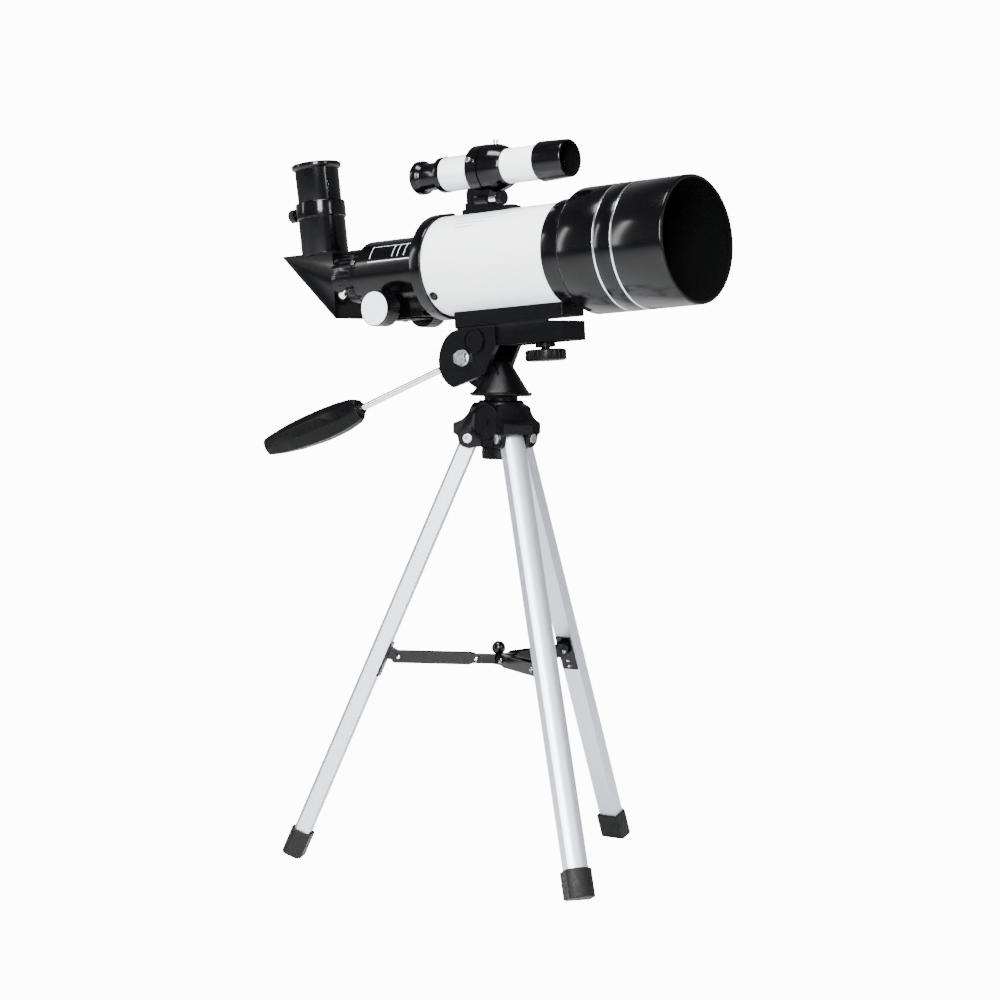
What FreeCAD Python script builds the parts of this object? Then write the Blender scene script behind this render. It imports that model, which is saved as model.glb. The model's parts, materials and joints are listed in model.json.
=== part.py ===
import FreeCAD, Part
import math
import os

os.makedirs("parts", exist_ok=True)

V = FreeCAD.Vector

# --------------------------------------------------------------------------
# Driving dimensions, millimetres and degrees.
# World frame: +Z up, origin on the floor under the tripod axis.
# The telescope points along +X, so its left side is +Y.
# --------------------------------------------------------------------------

# tripod
LEG_AZIMUTHS = [-30.0, 90.0, -150.0]
PIVOT_R = 22.0
PIVOT_Z = 304.0
SPREAD = 22.8
LEG_WIDTH = 15.0
LEG_IN = 6.0
LEG_SIDE = 3.5
LEG_OUT = 6.0
LEG_WALL = 1.2
LEG_TOP = 4.5
SOLE = 327.8
CAP_WALL = 1.8
CAP_TALL = 20.0
BOLT_R = 2.0

# crown
CROWN_TOP = 329.5
CROWN_BOTTOM = 298.0
CROWN_R = 16.5
CHEEK_IN = 7.8
CHEEK_OUT = 10.8

# spreader
PIN_R = 71.5
PIN_Z = 147.0
HUB_PIN_R = 15.5
ARM_HALF = 5.0
ARM_GAP = 4.0
LUG_HALF = 3.7
WEB_BACK = 17.0

# pan base
SHAFT_R = 12.0
SHAFT_BOTTOM = 289.3
FLANGE_R = 22.1
FLANGE_Z = 334.0
TONGUE_HALF = 10.9

# tilting head, measured from the tilt axle
TILT = 4.3
TILT_X = -23.0
TILT_Z = 360.7
TONGUE_EYE = 12.0
HEAD_HALF = 15.0
HEAD_IN = 11.2
DECK_TOP = 20.3
DECK_UNDER = 6.8
DECK_FRONT = 88.0
DECK_HALF = 13.0
PAD = 1.2
KNOB_X = 62.5

# handle, leaving the head rearward and down
ROD_R = 2.4
ROD_DROP = 17.0
ROD_LIFT = 3.7
ROD_TIP = 13.8
GRIP_FRONT = 116.0
GRIP_REAR = 210.0

# telescope, measured from the pan axis along the tube axis
TUBE_FORE = 28.0
TUBE_LIFT = 66.8
TUBE_R = 36.0
TUBE_WALL = 1.2
REAR_LIP_R = 38.0
CELL_R = 37.7
SHIELD_R = 44.0
SHIELD_WALL = 1.6
SHIELD_REAR = 78.5
SHIELD_FRONT = 166.2
RING_STATIONS = [111.0, 125.6]
HOUSING_R = 24.3
HOUSING_REAR = -117.0
DRAW_R = 18.0
DRAW_FRONT = -45.0
PINION_S = -92.0
PINION_H = -27.0
PINION_TEETH = 14
PITCH_R = 5.6
NOSE_R = 15.875
DIAG_FRONT = -144.6
DIAG_LEG = 49.6
DIAG_TOP = 19.6
DIAG_HALF = 16.0
EYE_S = -165.2
EYE_LEAN = 4.2

# finder, measured in the same frame as the telescope
FINDER_H = 66.0
FINDER_R = 12.4
SCREW_Y = -8.0
SCREW_H = 43.7


# --------------------------------------------------------------------------
# Small helpers
# --------------------------------------------------------------------------

def cyl(r, start, end):
    start = V(*start)
    end = V(*end)
    axis = end.sub(start)
    return Part.makeCylinder(r, axis.Length, start, axis)


def tube(r_out, r_in, start, end):
    return cyl(r_out, start, end).cut(cyl(r_in, start, end))


def box(x0, x1, y0, y1, z0, z1):
    return Part.makeBox(x1 - x0, y1 - y0, z1 - z0, V(x0, y0, z0))


def side_plate(points, y0, y1):
    """A flat outline in the XZ plane, given thickness along Y."""
    corners = [V(x, y0, z) for x, z in points]
    wire = Part.makePolygon(corners + [corners[0]])
    return Part.Face(wire).extrude(V(0, y1 - y0, 0))


def turned_x(points):
    """A closed outline of (station, radius) spun about the X axis."""
    corners = [V(s, 0, r) for s, r in points]
    wire = Part.makePolygon(corners + [corners[0]])
    return Part.Face(wire).revolve(V(0, 0, 0), V(1, 0, 0), 360)


def turned_z(points):
    """A closed outline of (radius, height) spun about the Z axis."""
    corners = [V(r, 0, z) for r, z in points]
    wire = Part.makePolygon(corners + [corners[0]])
    return Part.Face(wire).revolve(V(0, 0, 0), V(0, 0, 1), 360)


def hexagon(across, start, end):
    """A hexagonal bar along Y, point up."""
    r = across / math.sqrt(3)
    corners = []
    for i in range(6):
        a = math.radians(60 * i + 30)
        corners.append(V(start[0] + r * math.cos(a), start[1], start[2] + r * math.sin(a)))
    wire = Part.makePolygon(corners + [corners[0]])
    return Part.Face(wire).extrude(V(0, end - start[1], 0))


def lens_x(radius, s_rear, sag_rear, s_front, sag_front):
    """A round lens on the X axis, apex to apex. A positive sag bulges outward."""
    start = min(s_rear, s_rear + sag_rear)
    end = max(s_front, s_front - sag_front)
    lens = cyl(radius, (start, 0, 0), (end, 0, 0))
    for apex, sag, inward in ((s_front, sag_front, -1), (s_rear, sag_rear, 1)):
        curve = (radius ** 2 + sag ** 2) / (2 * abs(sag))
        if sag > 0:
            lens = lens.common(Part.makeSphere(curve, V(apex + inward * curve, 0, 0), V(1, 0, 0)))
        else:
            lens = lens.cut(Part.makeSphere(curve, V(apex - inward * curve, 0, 0), V(1, 0, 0)))
    return lens


def moved(shape, x, y, z):
    out = shape.copy()
    out.translate(V(x, y, z))
    return out


def turned_about(shape, point, axis, angle):
    out = shape.copy()
    out.rotate(V(*point), V(*axis), angle)
    return out


def on_head(shape):
    """Head frame (origin on the tilt axle) to world."""
    out = turned_about(shape, (0, 0, 0), (0, 1, 0), -TILT)
    return moved(out, TILT_X, 0, TILT_Z)


def on_tube(shape):
    """Telescope frame (origin on the tube axis) to world."""
    return on_head(moved(shape, TUBE_FORE, 0, TUBE_LIFT))


def on_leg(shape, azimuth):
    """Leg frame (origin on the pivot, leg hanging down) to world."""
    out = turned_about(shape, (0, 0, 0), (0, 1, 0), -SPREAD)
    out = moved(out, PIVOT_R, 0, PIVOT_Z)
    return turned_about(out, (0, 0, 0), (0, 0, 1), azimuth)


def on_eyepiece(shape):
    """Eyepiece frame (origin where its axis meets the diagonal's top) to world."""
    out = turned_about(shape, (0, 0, 0), (0, 1, 0), -EYE_LEAN)
    return on_tube(moved(out, EYE_S, 0, DIAG_TOP))


def around(shape, azimuth):
    return turned_about(shape, (0, 0, 0), (0, 0, 1), azimuth)


def radial(shape, angle):
    """Turn a telescope piece standing on +Z round the tube axis."""
    return turned_about(shape, (0, 0, 0), (1, 0, 0), angle)


def export(name, shape):
    shape.exportStep("parts/" + name + ".step")


# --------------------------------------------------------------------------
# Tripod legs
# --------------------------------------------------------------------------

def leg_bar(inset, z0, z1):
    """The leg section: three flat sides and a bulged outer face."""
    half = LEG_WIDTH / 2 - inset
    x_in = -LEG_IN + inset
    x_side = LEG_SIDE - 0.35 * inset
    x_out = LEG_OUT - inset
    edges = [
        Part.makeLine(V(x_in, -half, z0), V(x_side, -half, z0)),
        Part.Arc(V(x_side, -half, z0), V(x_out, 0, z0), V(x_side, half, z0)).toShape(),
        Part.makeLine(V(x_side, half, z0), V(x_in, half, z0)),
        Part.makeLine(V(x_in, half, z0), V(x_in, -half, z0)),
    ]
    return Part.Face(Part.Wire(edges)).extrude(V(0, 0, z1 - z0))


pivot_hole = cyl(BOLT_R + 0.06, (0, -12, 0), (0, 12, 0))

leg_tube = leg_bar(0, -SOLE + 4, LEG_TOP)
leg_tube = leg_tube.cut(leg_bar(LEG_WALL, -SOLE, LEG_TOP + 1))
leg_tube = leg_tube.cut(pivot_hole)

leg_plug = leg_bar(LEG_WALL + 0.02, -20, LEG_TOP + 0.6)
leg_plug = leg_plug.cut(pivot_hole)
leg_plug = leg_plug.cut(box(-2.6, 2.6, -4, 4, -21, -6))

foot_cap = leg_bar(-CAP_WALL, -SOLE, -SOLE + CAP_TALL)
foot_cap = foot_cap.cut(leg_bar(0, -SOLE + 4, -SOLE + CAP_TALL + 1))

# spreader bracket on the inner face of each leg: plate, three rivets and a lug
drop = math.radians(SPREAD)
pin_out = (PIN_R - PIVOT_R) * math.cos(drop) - (PIVOT_Z - PIN_Z) * math.sin(drop)
pin_down = (PIN_R - PIVOT_R) * math.sin(drop) + (PIVOT_Z - PIN_Z) * math.cos(drop)
plate_x = -LEG_IN - 1.5
bracket = box(plate_x, -LEG_IN, -6.5, 6.5, -pin_down - 19, -pin_down + 7)
lug_points = [
    (plate_x + 0.2, -pin_down + 4),
    (plate_x + 0.2, -pin_down - 5),
    (pin_out, -pin_down - 3),
    (pin_out, -pin_down + 3),
]
bracket = bracket.fuse(side_plate(lug_points, -LUG_HALF, LUG_HALF))
bracket = bracket.fuse(cyl(3, (pin_out, -LUG_HALF, -pin_down), (pin_out, LUG_HALF, -pin_down)))
for z in (-7.4, -12.0, -16.4):
    bracket = bracket.fuse(cyl(1.5, (plate_x - 0.6, 0, -pin_down + z), (plate_x + 0.1, 0, -pin_down + z)))
pin_hole = cyl(1.56, (pin_out, -6, -pin_down), (pin_out, 6, -pin_down))
bracket = bracket.cut(pin_hole)

floor_cut = box(-400, 400, -400, 400, -60, 0)
for i, azimuth in enumerate(LEG_AZIMUTHS):
    tag = str(i + 1)
    export("leg_tube_" + tag, on_leg(leg_tube, azimuth))
    export("leg_plug_" + tag, on_leg(leg_plug, azimuth))
    export("foot_cap_" + tag, on_leg(foot_cap, azimuth).cut(floor_cut))
    export("spreader_bracket_" + tag, on_leg(bracket, azimuth))


# --------------------------------------------------------------------------
# Spreader arms, hub and ball knob
# --------------------------------------------------------------------------

arm_in = HUB_PIN_R
arm_out = PIN_R
cheek_points = [
    (arm_in, 2.6),
    (arm_in + 5, 4.2),
    (arm_out + 3.4, 4.2),
    (arm_out + 4.8, 3.0),
    (arm_out + 4.8, -3.0),
    (arm_out + 3.4, -4.2),
    (arm_in + 5, -4.2),
    (arm_in, -2.6),
]
arm = None
for side in (-1, 1):
    y0 = min(side * ARM_GAP, side * ARM_HALF)
    y1 = max(side * ARM_GAP, side * ARM_HALF)
    cheek = side_plate(cheek_points, y0, y1)
    cheek = cheek.fuse(cyl(2.6, (arm_in, y0, 0), (arm_in, y1, 0)))
    head_y = side * (ARM_HALF + 0.7)
    for x in (arm_in, arm_out):
        cheek = cheek.fuse(cyl(1.9, (x, side * (ARM_HALF - 0.1), 0), (x, head_y, 0)))
    arm = cheek if arm is None else arm.fuse(cheek)
web = box(arm_in + WEB_BACK, arm_out - 6.5, -ARM_HALF + 0.2, ARM_HALF - 0.2, -4.2, -3.2)
arm = arm.fuse(web)
arm = arm.fuse(cyl(1.5, (arm_out, -ARM_HALF, 0), (arm_out, ARM_HALF, 0)))

hub = cyl(4.2, (0, 0, -3.6), (0, 0, 3.2))
for azimuth in LEG_AZIMUTHS:
    blade = box(0, HUB_PIN_R, -LUG_HALF, LUG_HALF, -3.4, 3.2)
    blade = blade.fuse(cyl(3.2, (HUB_PIN_R, -LUG_HALF, 0), (HUB_PIN_R, LUG_HALF, 0)))
    blade = blade.cut(cyl(1.5, (HUB_PIN_R, -6, 0), (HUB_PIN_R, 6, 0)))
    hub = hub.fuse(around(blade, azimuth))
hub = hub.cut(cyl(1.5, (0, 0, -1), (0, 0, 4)))

knob = Part.makeSphere(4.9, V(0, 0, 7.9))
knob = knob.fuse(cyl(2.2, (0, 0, 3.2), (0, 0, 5)))
knob = knob.fuse(cyl(1.5, (0, 0, -1), (0, 0, 4)))

for i, azimuth in enumerate(LEG_AZIMUTHS):
    export("spreader_arm_" + str(i + 1), moved(around(arm, azimuth), 0, 0, PIN_Z))
export("spreader_hub", moved(hub, 0, 0, PIN_Z))
export("hub_knob", moved(knob, 0, 0, PIN_Z))


# --------------------------------------------------------------------------
# Crown: a core with three leg forks and a round boss facing -Y
# --------------------------------------------------------------------------

top_profile = [
    (8, CROWN_TOP),
    (18.8, CROWN_TOP),
    (20.2, 326.5),
    (21.8, 322.4),
    (24.6, 318.8),
    (28.4, 316.4),
    (32.0, 315.2),
    (32.6, 313.6),
    (32.4, 307.6),
]
fork_points = top_profile + [
    (29.6, 306.0),
    (28.4, 301.0),
    (25.4, 298.2),
    (21.0, 297.2),
    (17.0, 298.0),
    (8, CROWN_BOTTOM),
]
shoulder_points = top_profile + [
    (30.3, 307.6),
    (30.3, 313.4),
    (27.0, 314.6),
    (23.2, 317.0),
    (20.0, 320.6),
    (18.2, 326.0),
    (8, 326.0),
]
crown = cyl(CROWN_R, (0, 0, CROWN_BOTTOM), (0, 0, CROWN_TOP))
crown = crown.fuse(turned_z([(0, CROWN_TOP), (16.5, CROWN_TOP), (15.2, CROWN_TOP + 1.6), (0, CROWN_TOP + 1.6)]))
slots = None
for azimuth in LEG_AZIMUTHS:
    fork = side_plate(fork_points, -CHEEK_OUT, CHEEK_OUT)
    arch = cyl(17.2, (0, 0, 312.6), (40, 0, 312.6))
    fork = fork.common(arch.fuse(box(0, 40, -CHEEK_OUT, CHEEK_OUT, 290, 312.6)))
    for side in (-1, 1):
        ring = cyl(6.0, (PIVOT_R, side * CHEEK_IN, PIVOT_Z), (PIVOT_R, side * (CHEEK_OUT + 0.6), PIVOT_Z))
        fork = fork.fuse(ring)
    crown = crown.fuse(around(fork, azimuth))
boss = cyl(13.0, (0, -11, 316.0), (0, -19.0, 316.0))
boss = boss.cut(cyl(11.4, (0, -17.8, 316.0), (0, -20, 316.0)))
boss = boss.fuse(cyl(2.2, (0, -17, 316.0), (0, -18.4, 316.0)))
crown = crown.fuse(boss)
for azimuth in LEG_AZIMUTHS:
    slot = box(14.2, 40, -CHEEK_IN, CHEEK_IN, 290, 328)
    slot = slot.cut(side_plate(shoulder_points, -CHEEK_IN - 1, CHEEK_IN + 1))
    hole = cyl(BOLT_R, (PIVOT_R, -14, PIVOT_Z), (PIVOT_R, 14, PIVOT_Z))
    crown = crown.cut(around(slot, azimuth))
    crown = crown.cut(around(hole, azimuth))
crown = crown.cut(cyl(SHAFT_R + 0.1, (0, 0, 280), (0, 0, 340)))
crown = crown.removeSplitter()
export("crown", crown)

bolts = []
for azimuth in LEG_AZIMUTHS:
    bolt = cyl(BOLT_R, (PIVOT_R, -CHEEK_OUT - 0.6, PIVOT_Z), (PIVOT_R, CHEEK_OUT + 0.6, PIVOT_Z))
    for side in (-1, 1):
        y0 = side * (CHEEK_OUT + 0.6)
        bolt = bolt.fuse(cyl(3.3, (PIVOT_R, y0, PIVOT_Z), (PIVOT_R, y0 + side * 1.6, PIVOT_Z)))
    bolts.append(around(bolt, azimuth))
export("leg_pivot_bolts", Part.makeCompound(bolts))


# --------------------------------------------------------------------------
# Pan base: shaft through the crown, flange, wedge-shaped post with an eye
# --------------------------------------------------------------------------

shaft = cyl(SHAFT_R, (0, 0, SHAFT_BOTTOM + 1), (0, 0, FLANGE_Z))
shaft = shaft.fuse(turned_z([
    (0, SHAFT_BOTTOM),
    (SHAFT_R - 1, SHAFT_BOTTOM),
    (SHAFT_R, SHAFT_BOTTOM + 1),
    (0, SHAFT_BOTTOM + 1),
]))
nut = turned_z([
    (9, SHAFT_BOTTOM),
    (12.4, SHAFT_BOTTOM),
    (13.3, SHAFT_BOTTOM + 0.9),
    (13.3, CROWN_BOTTOM - 0.4),
    (9, CROWN_BOTTOM - 0.4),
])
shaft = shaft.fuse(nut)
shaft = shaft.cut(cyl(9.0, (0, 0, SHAFT_BOTTOM - 1), (0, 0, 318)))
shaft = shaft.removeSplitter()
export("pan_shaft", shaft)

flange = turned_z([
    (0, FLANGE_Z),
    (FLANGE_R - 1.2, FLANGE_Z),
    (FLANGE_R, FLANGE_Z + 1.0),
    (FLANGE_R, FLANGE_Z + 2.0),
    (FLANGE_R - 1.0, FLANGE_Z + 2.8),
    (0, FLANGE_Z + 2.8),
])
post_points = [
    (-10.0, FLANGE_Z + 2),
    (18.5, FLANGE_Z + 2),
    (16.0, FLANGE_Z + 4.6),
    (2.5, TILT_Z - 6.5),
    (-13.0, TILT_Z + 6.6),
    (-32.0, TILT_Z - 7.9),
    (-10.5, FLANGE_Z + 12),
]
post = side_plate(post_points, -TONGUE_HALF, TONGUE_HALF)
cone = turned_z([
    (0, FLANGE_Z + 2),
    (20.6, FLANGE_Z + 2),
    (19.0, FLANGE_Z + 4.2),
    (6.5, TILT_Z - 2.5),
    (0, TILT_Z - 2.5),
])
swing = cyl(23.8, (TILT_X, -40, TILT_Z), (TILT_X, 40, TILT_Z))
swing = swing.cut(box(-80, 40, -TONGUE_HALF, TONGUE_HALF, 300, 400))
skirt = cone.common(box(-14.5, 40, -40, 40, FLANGE_Z + 2, TILT_Z)).cut(swing)
post = post.common(cone.fuse(box(-60, 6, -20, 20, FLANGE_Z + 2, TILT_Z + 20)))
post = post.fuse(cyl(TONGUE_EYE, (TILT_X, -TONGUE_HALF, TILT_Z), (TILT_X, TONGUE_HALF, TILT_Z)))
pan_base = flange.fuse(skirt).fuse(post)
pan_base = pan_base.cut(cyl(3.06, (TILT_X, -20, TILT_Z), (TILT_X, 20, TILT_Z)))
pan_base = pan_base.removeSplitter()
export("pan_base", pan_base)


# --------------------------------------------------------------------------
# Tilting head: two side plates, a deck with ribs, the rear bridge
# --------------------------------------------------------------------------

plate_points = [
    (-5.0, DECK_TOP),
    (-10.0, 18.9),
    (-14.4, 16.0),
    (-18.0, 11.6),
    (-20.8, 6.0),
    (-22.2, 0.0),
    (-22.0, -6.6),
    (-19.6, -12.4),
    (-15.6, -17.2),
    (-10.6, -20.3),
    (19.0, -12.6),
    (24.6, -2.6),
    (30.0, DECK_UNDER),
    (30.0, DECK_TOP),
]
head = None
for side in (-1, 1):
    y0 = min(side * HEAD_IN, side * HEAD_HALF)
    y1 = max(side * HEAD_IN, side * HEAD_HALF)
    plate = side_plate(plate_points, y0, y1)
    head = plate if head is None else head.fuse(plate)
head = head.fuse(box(-5, 30, -HEAD_HALF, HEAD_HALF, 17.0, DECK_TOP))
deck = box(30, DECK_FRONT, -DECK_HALF, DECK_HALF, DECK_UNDER, DECK_TOP)
pocket = box(32.5, DECK_FRONT - 2.5, -DECK_HALF + 2.5, DECK_HALF - 2.5, DECK_UNDER - 1, 17.0)
deck = deck.cut(pocket)
for x in (46.0, 77.0):
    deck = deck.fuse(box(x - 1, x + 1, -DECK_HALF + 2, DECK_HALF - 2, DECK_UNDER + 2, 17.5))
deck = deck.fuse(cyl(7.0, (KNOB_X, 0, 3.5), (KNOB_X, 0, 17.5)))
head = head.fuse(deck)
ring_boss = tube(8.9, 7.6, (10.8, -HEAD_HALF + 0.5, 11.3), (10.8, -HEAD_HALF - 1.4, 11.3))
ring_boss = ring_boss.fuse(cyl(7.8, (10.8, -HEAD_HALF + 0.5, 11.3), (10.8, -HEAD_HALF - 0.7, 11.3)))
head = head.fuse(ring_boss)
bridge_points = [(-14.6, 9.5), (-19.5, 9.5), (-22.3, 1.5), (-21.8, -7.0), (-19.0, -12.0), (-14.6, -9.0)]
head = head.fuse(side_plate(bridge_points, -HEAD_IN - 0.5, HEAD_IN + 0.5))
rod_dir = (-math.cos(math.radians(ROD_DROP)), -math.sin(math.radians(ROD_DROP)))


def rod_at(q):
    """A point on the handle axis, q along it from above the tilt axle."""
    return (q * rod_dir[0], 0, ROD_LIFT + q * rod_dir[1])


head = head.cut(cyl(ROD_R + 0.08, rod_at(0), rod_at(40)))
head = head.cut(cyl(3.0, (0, -20, 0), (0, 20, 0)))
head = head.cut(cyl(3.25, (KNOB_X, 0, -5), (KNOB_X, 0, 25)))
head = head.removeSplitter()
export("tilt_head", on_head(head))

pad = box(-6.5, DECK_FRONT - 15, -12.2, 12.2, DECK_TOP, DECK_TOP + PAD)
pad = pad.cut(cyl(4.0, (KNOB_X, 0, 10), (KNOB_X, 0, 30)))
export("deck_pad", on_head(pad))

tilt_bolt = cyl(3.0, (0, -HEAD_HALF - 1, 0), (0, HEAD_HALF + 5, 0))
tilt_bolt = tilt_bolt.fuse(cyl(5.9, (0, -HEAD_HALF - 1.0, 0), (0, -HEAD_HALF, 0)))
tilt_bolt = tilt_bolt.fuse(hexagon(9.6, (0, -HEAD_HALF - 4.6, 0), -HEAD_HALF - 0.9))
tilt_bolt = tilt_bolt.fuse(hexagon(9.6, (0, HEAD_HALF, 0), HEAD_HALF + 4.2))
export("tilt_bolt", on_head(tilt_bolt))


# --------------------------------------------------------------------------
# Deck screw with its round knob
# --------------------------------------------------------------------------

deck_knob = turned_z([
    (0, -6.0),
    (13.3, -6.0),
    (14.4, -5.0),
    (14.4, 0.8),
    (13.4, 1.8),
    (0, 1.8),
])
for i in range(24):
    groove = cyl(0.7, (14.7, 0, -7), (14.7, 0, 3))
    deck_knob = deck_knob.cut(around(groove, i * 15))
deck_knob = deck_knob.fuse(cyl(3.175, (0, 0, 1), (0, 0, 28.5)))
export("deck_knob", on_head(moved(deck_knob, KNOB_X, 0, 0)))


# --------------------------------------------------------------------------
# Handle: plated rod and a spindle-shaped grip
# --------------------------------------------------------------------------

export("handle_rod", on_head(cyl(ROD_R, rod_at(ROD_TIP), rod_at(GRIP_REAR - 30))))

# station along the handle, half height, half width, rise of the centre
grip_sections = [
    (GRIP_FRONT, 7.0, 5.6, 0.0),
    (GRIP_FRONT + 5, 9.2, 7.6, 0.2),
    (GRIP_FRONT + 18, 10.8, 8.8, 0.3),
    (GRIP_FRONT + 34, 11.4, 9.4, 0.7),
    (GRIP_FRONT + 50, 11.1, 9.4, 1.5),
    (GRIP_FRONT + 66, 10.2, 9.0, 2.4),
    (GRIP_FRONT + 82, 8.4, 7.8, 3.4),
    (GRIP_FRONT + 95, 6.4, 6.2, 4.4),
]
along = V(rod_dir[0], 0, rod_dir[1])
upward = V(rod_dir[1], 0, -rod_dir[0])
section_shape = [(0.62, 1.0), (1.0, 0.5), (1.0, -0.25), (0.5, -1.0)]
sections = []
for q, half_high, half_wide, rise in grip_sections:
    centre = V(*rod_at(q)).add(upward * rise)
    ring = [(wide * half_wide, high * half_high) for wide, high in section_shape]
    ring = ring + [(-wide, high) for wide, high in reversed(ring)]
    corners = [centre.add(upward * high).add(V(0, wide, 0)) for wide, high in ring]
    sections.append(Part.makePolygon(corners + [corners[0]]))
grip = Part.makeLoft(sections, True, True)
grip = grip.fuse(cyl(4.4, rod_at(GRIP_FRONT - 3), rod_at(GRIP_FRONT + 1)))
grip = grip.cut(cyl(ROD_R, rod_at(GRIP_FRONT - 10), rod_at(GRIP_REAR - 30)))
export("handle_grip", on_head(grip))


# --------------------------------------------------------------------------
# Telescope: saddle, tube, cells, lenses
# --------------------------------------------------------------------------

saddle_under = DECK_TOP + PAD - TUBE_LIFT
saddle = box(-35.8, 60, -DECK_HALF, DECK_HALF, saddle_under, -30)
saddle = saddle.cut(cyl(TUBE_R, (-60, 0, 0), (90, 0, 0)))
saddle = saddle.cut(box(48, 61, -20, 20, saddle_under - 1, saddle_under + 2.0))
saddle = saddle.cut(box(24, 50, -10.5, 20, saddle_under - 1, saddle_under + 2.0))
saddle = saddle.cut(cyl(3.25, (KNOB_X - TUBE_FORE, 0, saddle_under - 1), (KNOB_X - TUBE_FORE, 0, saddle_under + 9)))
export("tube_saddle", on_tube(saddle))

export("main_tube", on_tube(tube(TUBE_R, TUBE_R - TUBE_WALL, (-50, 0, 0), (66, 0, 0))))

rear_cell = turned_x([
    (-45, TUBE_R),
    (-45, REAR_LIP_R - 0.4),
    (-45.6, REAR_LIP_R),
    (-54.2, REAR_LIP_R),
    (-55.2, REAR_LIP_R - 1.0),
    (-60.5, HOUSING_R + 2.0),
    (-60.5, HOUSING_R),
    (-52, HOUSING_R),
    (-52, 33),
    (-50, 33),
    (-50, TUBE_R),
])
export("rear_cell", on_tube(rear_cell))

screws = []
for angle in (127.7, -112.3, 7.7):
    screw = turned_z([(0, 0), (3.4, 0), (3.4, 0.9), (2.2, 1.9), (0, 2.1)])
    screw = screw.cut(box(-0.4, 0.4, -3, 3, 1.2, 3))
    screw = moved(screw, -40.6, 0, TUBE_R - 0.05)
    screw = screw.cut(cyl(TUBE_R, (-60, 0, 0), (0, 0, 0)))
    screws.append(radial(screw, angle))
export("cell_screws", on_tube(Part.makeCompound(screws)))

front_cell = turned_x([
    (61.4, TUBE_R),
    (61.4, CELL_R - 0.8),
    (62.2, CELL_R),
    (76.6, CELL_R),
    (76.6, CELL_R - 0.4),
    (96, CELL_R - 0.4),
    (96, 35.0),
    (81.6, 35.0),
    (81.6, 33.0),
    (66, 33.0),
    (66, TUBE_R),
])
export("front_cell", on_tube(front_cell))

export("objective_crown", on_tube(lens_x(34.98, 86.0, 3.4, 94.0, 3.0)))
export("objective_flint", on_tube(lens_x(34.98, 82.6, -1.0, 85.8, -3.4)))
export("lens_ring", on_tube(tube(35.0, 32.6, (91.6, 0, 0), (95.0, 0, 0))))

shield = turned_x([
    (SHIELD_REAR, 37.6),
    (SHIELD_REAR, SHIELD_R - 3.0),
    (SHIELD_REAR + 3.0, SHIELD_R),
    (SHIELD_FRONT - 0.8, SHIELD_R),
    (SHIELD_FRONT, SHIELD_R - 0.7),
    (SHIELD_FRONT, SHIELD_R - 2.4),
    (SHIELD_FRONT - 2.6, SHIELD_R - 2.4),
    (SHIELD_FRONT - 3.4, SHIELD_R - SHIELD_WALL),
    (SHIELD_REAR + 12, SHIELD_R - SHIELD_WALL),
    (SHIELD_REAR + 10, 37.6),
])
rings = []
for s in RING_STATIONS:
    groove = tube(SHIELD_R + 1, SHIELD_R - 0.4, (s - 0.8, 0, 0), (s + 0.8, 0, 0))
    shield = shield.cut(groove)
    rings.append(tube(SHIELD_R + 0.15, SHIELD_R - 0.4, (s - 0.8, 0, 0), (s + 0.8, 0, 0)))
export("dew_shield", on_tube(shield))
export("shield_trim_rings", on_tube(Part.makeCompound(rings)))


# --------------------------------------------------------------------------
# Focuser: housing, drawtube with rack, pinion shaft and knobs
# --------------------------------------------------------------------------

housing = turned_x([
    (HOUSING_REAR, DRAW_R + 0.2),
    (HOUSING_REAR, HOUSING_R - 0.6),
    (HOUSING_REAR + 0.6, HOUSING_R),
    (-52, HOUSING_R),
    (-52, DRAW_R + 0.2),
])
block = box(-105, -63, -14, 14, -34.0, -15)
for side in (-1, 1):
    block = block.fuse(cyl(5.0, (PINION_S, side * 13.5, PINION_H), (PINION_S, side * 18.4, PINION_H)))
block = block.cut(cyl(HOUSING_R - 1, (-110, 0, 0), (-50, 0, 0)))
housing = housing.fuse(block)
housing = housing.cut(box(HOUSING_REAR - 1, -50, -3.5, 3.5, -22.5, -15))
housing = housing.cut(cyl(7.2, (PINION_S, -6.6, PINION_H), (PINION_S, 6.6, PINION_H)))
housing = housing.cut(cyl(2.56, (PINION_S, -20, PINION_H), (PINION_S, 20, PINION_H)))
housing = housing.removeSplitter()
export("focuser_housing", on_tube(housing))

cover = box(-101, -75, -11, 11, -35.1, -34.0)
for x in (-98.0, -78.0):
    for y in (-8.0, 8.0):
        cover = cover.fuse(cyl(1.6, (x, y, -35.7), (x, y, -35.0)))
export("pinion_cover", on_tube(cover))

# rack and pinion in mesh: the rack has a gap where the pinion has its top tooth
pitch = 2 * math.pi * PITCH_R / PINION_TEETH
rack_line = PINION_H + PITCH_R
drawtube = tube(DRAW_R, NOSE_R + 0.35, (-126, 0, 0), (DRAW_FRONT, 0, 0))
rack = box(-116, DRAW_FRONT, -3.0, 3.0, rack_line + 1.0, -17.4)
first = math.ceil((-115 - PINION_S) / pitch - 0.5)
last = math.floor((DRAW_FRONT - 1 - PINION_S) / pitch - 0.5)
for i in range(first, last + 1):
    x = PINION_S + (i + 0.5) * pitch
    tooth = [
        (x - 0.86, rack_line + 1.05),
        (x - 0.22, rack_line - 0.7),
        (x + 0.22, rack_line - 0.7),
        (x + 0.86, rack_line + 1.05),
    ]
    rack = rack.fuse(side_plate(tooth, -3.0, 3.0))
rack = rack.cut(cyl(DRAW_R - 0.6, (-130, 0, 0), (-30, 0, 0)))
drawtube = drawtube.fuse(rack).removeSplitter()
export("drawtube", on_tube(drawtube))

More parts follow.
